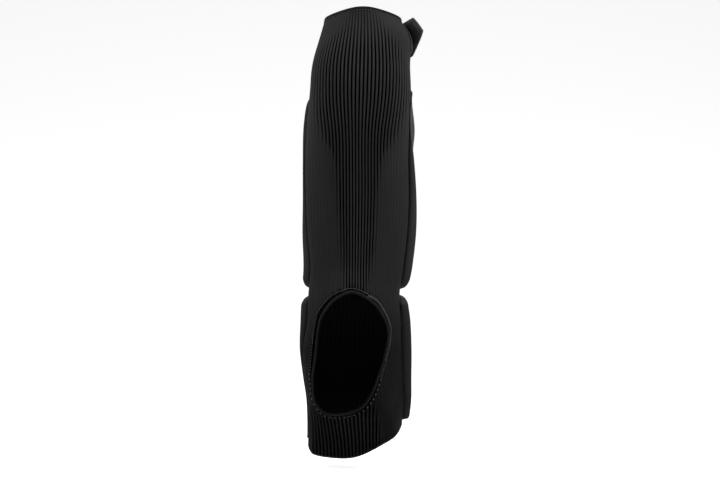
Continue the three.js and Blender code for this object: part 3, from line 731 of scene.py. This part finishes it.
# The strap: a wide elastic band, sewn on at the inner side, that runs round the front below the
# knee. Its loose end stands off the sleeve, with hook tape on its inner face.
STRAP_THICK = 0.0020
STRAP_LOW = 0.892 * TOP
STRAP_HIGH = 0.998 * TOP
STRAP_START = 1.17
PEEL = 3 - 2 * 4 / 18
TAB_LENGTH = 0.037
TAB_RISE = 0.18
STRAP_ROWS = 25
FRONT_COLUMNS = 90
TAB_COLUMNS = 30
LENGTH_PER_SHARE = 0.095
STRAP_WIDE_MM = 45


def strap_place(share, way, level, lift):
    """A place on the strap: on the knit round the front, and past the line where it peels off it
    goes straight on. level is 0 at its lower edge and 1 at its upper one."""
    t = STRAP_LOW + level * (STRAP_HIGH - STRAP_LOW)
    start = on_knit(np.where(way > 0, PEEL, share), t, lift)
    ahead = unit(on_knit(PEEL, t, lift) - on_knit(PEEL - 0.01, t, lift))
    return start + (ahead + np.array([0, 0, TAB_RISE])) * np.maximum(way, 0)[..., None]


def tab_length(level):
    """The loose end is cut off at a slant at both corners, more at the lower one."""
    return TAB_LENGTH * (0.42 + 0.58 * np.clip(level / 0.5, 0, 1) - 0.16 * np.clip(2 * level - 1, 0, 1))


def make_strap():
    """Columns round the front, then out along the loose end; rows from edge to edge."""
    round_it = np.linspace(STRAP_START, PEEL, FRONT_COLUMNS)
    free = np.linspace(0, 1, TAB_COLUMNS + 1)[1:]
    columns = FRONT_COLUMNS + TAB_COLUMNS
    level, column = np.meshgrid(np.linspace(0, 1, STRAP_ROWS), np.arange(columns), indexing="ij")
    share = np.concatenate([round_it, np.full(TAB_COLUMNS, PEEL)])[column]
    way = np.concatenate([np.zeros(FRONT_COLUMNS), free])[column] * tab_length(level)
    along = np.concatenate([(round_it - STRAP_START) * LENGTH_PER_SHARE,
                            (PEEL - STRAP_START) * LENGTH_PER_SHARE + free * TAB_LENGTH])
    border = ease(np.minimum(level, 1 - level) / 0.05)
    outer = strap_place(share, way, level, FIT + STRAP_THICK * (0.7 + 0.3 * border)).reshape(-1, 3)
    inner = strap_place(share, way, level, FIT + STRAP_THICK * 0.3 * (1 - border)).reshape(-1, 3)
    uv = np.stack([along[column].ravel() * 1000, level.ravel() * STRAP_WIDE_MM], axis=1)
    return outwards(shell("knee_strap_band", outer, inner, grid_faces(STRAP_ROWS, columns, False), uv))


def webbing_material(name, light):
    """Woven elastic: cords along the band, crossed by close threads."""
    material, tree, skin = shader(name)
    place = node(tree, "ShaderNodeUVMap", uv_map="cloth").outputs[0]
    split = node(tree, "ShaderNodeSeparateXYZ", {0: place})
    cords = calc(tree, "SINE", calc(tree, "MULTIPLY", split.outputs[1], 2 * math.pi / 1.6))
    threads = calc(tree, "SINE", calc(tree, "MULTIPLY", split.outputs[0], 2 * math.pi / 0.8))
    weave = calc(tree, "MULTIPLY", cords, threads)
    here = node(tree, "ShaderNodeTexCoord").outputs["Object"]
    fuzz = noise(tree, here, 1000.0, 2.0)
    uneven = calc(tree, "ADD", calc(tree, "MULTIPLY", weave, 0.3), fuzz)
    ramp = node(tree, "ShaderNodeValToRGB", {0: uneven})
    ramp.color_ramp.elements[0].color = (0.010 * light, 0.010 * light, 0.010 * light, 1)
    ramp.color_ramp.elements[1].color = (0.034 * light, 0.034 * light, 0.035 * light, 1)
    tree.links.new(ramp.outputs[0], skin.inputs["Base Color"])
    bump = node(tree, "ShaderNodeBump", {"Height": calc(tree, "ADD", weave, cords), "Strength": 0.5,
                                         "Distance": 0.0003})
    tree.links.new(bump.outputs[0], skin.inputs["Normal"])
    skin.inputs["Roughness"].default_value = 0.75
    return material


strap = make_strap()
strap.data.materials.append(webbing_material("woven_elastic", 1.4))
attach(strap, "root")
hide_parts("knee_strap")


# The two tapes that close the strap, both thin and sewn on flat: hook tape with stiff nylon hooks
# on the inner face of the loose end, and a soft plain tape on the sleeve where it closes.
def make_tape(name, column_places, levels, low, high):
    """A thin tape on the strap or on the sleeve: a grid between two heights."""
    level, column = np.meshgrid(levels, np.arange(len(column_places)), indexing="ij")
    share, way = (np.array(column_places)[column, k] for k in (0, 1))
    way = way * tab_length(level)
    outer = strap_place(share, way, level, high).reshape(-1, 3)
    inner = strap_place(share, way, level, low).reshape(-1, 3)
    uv = np.stack([column.ravel() * 1.0, level.ravel() * STRAP_WIDE_MM], axis=1)
    faces = grid_faces(len(levels), len(column_places), False)
    return outwards(shell(name, outer, inner, faces, uv))


def hook_material():
    """Hook tape: rows of tiny stiff hooks on a black ground."""
    material, tree, skin = shader("hook_tape")
    here = node(tree, "ShaderNodeTexCoord").outputs["Object"]
    dots = node(tree, "ShaderNodeTexVoronoi", {"Vector": here, "Scale": 900.0}).outputs["Distance"]
    ramp = node(tree, "ShaderNodeValToRGB", {0: dots})
    ramp.color_ramp.elements[0].color = (0.012, 0.012, 0.012, 1)
    ramp.color_ramp.elements[1].color = (0.002, 0.002, 0.002, 1)
    tree.links.new(ramp.outputs[0], skin.inputs["Base Color"])
    bump = node(tree, "ShaderNodeBump", {"Height": dots, "Strength": 0.8, "Distance": 0.0006})
    bump.invert = True
    tree.links.new(bump.outputs[0], skin.inputs["Normal"])
    skin.inputs["Roughness"].default_value = 0.6
    return material


hook = make_tape("hook_tape_patch", [(PEEL, w) for w in np.linspace(0.5, 0.89, 16)],
                 np.linspace(0.12, 0.92, 14), FIT - 0.0014, FIT - 0.0001)
hook.data.materials.append(hook_material())
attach(hook, "root")
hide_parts("hook_patch")

loop = make_tape("loop_tape_patch", [(s, 0.0) for s in np.linspace(PEEL + 0.15, 2.995, 24)],
                 np.linspace(0.1, 0.9, 14), FIT * 0.5, FIT + 0.0010)
loop.data.materials.append(webbing_material("loop_tape", 0.8))
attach(loop, "root")
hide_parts("loop_patch")


# The studio: a pale floor that runs up into a backdrop, soft light from both sides and from
# above, and the camera behind the guard at the height of its middle.
def make_floor():
    """A strip that lies flat and curves up far in front of the toes: its profile is a level line,
    a quarter circle and an upright line."""
    turn = np.linspace(0, np.pi / 2, 12)
    level, radius, back = -0.180, 1.2, -2.2
    y = np.concatenate([[3.0], back - radius * np.sin(turn), [back - radius]])
    z = np.concatenate([[level], level + radius - radius * np.cos(turn), [level + 5.0]])
    x = np.array([-5.0, 5.0])
    points = np.stack([np.repeat(x[None, :], len(y), 0), np.repeat(y[:, None], 2, 1),
                       np.repeat(z[:, None], 2, 1)], axis=-1).reshape(-1, 3)
    return mesh_object("floor", points, grid_faces(len(y), 2, False)[:, ::-1])


floor = make_floor()
material, tree, skin = shader("pale_floor")
skin.inputs["Base Color"].default_value = (0.85, 0.85, 0.85, 1)
skin.inputs["Roughness"].default_value = 0.9
skin.inputs["Specular IOR Level"].default_value = 0.1
skin.inputs["Emission Color"].default_value = (1, 1, 1, 1)
skin.inputs["Emission Strength"].default_value = 0.75
floor.data.materials.append(material)
floor.visible_diffuse = False

world = bpy.data.worlds.new("studio")
bpy.context.scene.world = world
world.use_nodes = True
sky = world.node_tree.nodes["Background"]
sky.inputs[1].default_value = 0.34
way = node(world.node_tree, "ShaderNodeTexCoord").outputs["Generated"]
upward = node(world.node_tree, "ShaderNodeSeparateXYZ", {0: way}).outputs[2]
fade = node(world.node_tree, "ShaderNodeMapRange", {0: upward, 1: -0.15, 2: 0.7, 3: 0.0, 4: 1.0})
world.node_tree.links.new(fade.outputs[0], sky.inputs[0])
bpy.context.scene.view_settings.view_transform = "Standard"


def soft_light(name, place, aim, size, power):
    """A square area light at place that faces aim."""
    light = bpy.data.lights.new(name, "AREA")
    light.size = size
    light.energy = power
    lamp = bpy.data.objects.new(name, light)
    bpy.context.scene.collection.objects.link(lamp)
    away = np.array(place, float) - np.array(aim, float)
    flat = math.hypot(away[0], away[1])
    lamp.location = place
    lamp.rotation_euler = (math.atan2(flat, away[2]), 0, math.atan2(away[0], -away[1]))
    return lamp


soft_light("left_softbox", (0.85, 0.45, 0.95), (0, 0, 0.25), 0.6, 10.5)
soft_light("right_softbox", (-0.85, 0.45, 0.95), (0, 0, 0.25), 0.6, 14.5)
soft_light("top_softbox", (0.0, 0.6, 2.0), (0, 0, 0.0), 1.4, 6)

eye = bpy.data.cameras.new("camera")
eye.sensor_width = 36.0
eye.lens = 75.9
camera = bpy.data.objects.new("camera", eye)
bpy.context.scene.collection.objects.link(camera)
camera.location = (-0.0056, 1.7, 0.0907)
camera.rotation_euler = (math.radians(90), 0, math.radians(180))
bpy.context.scene.camera = camera
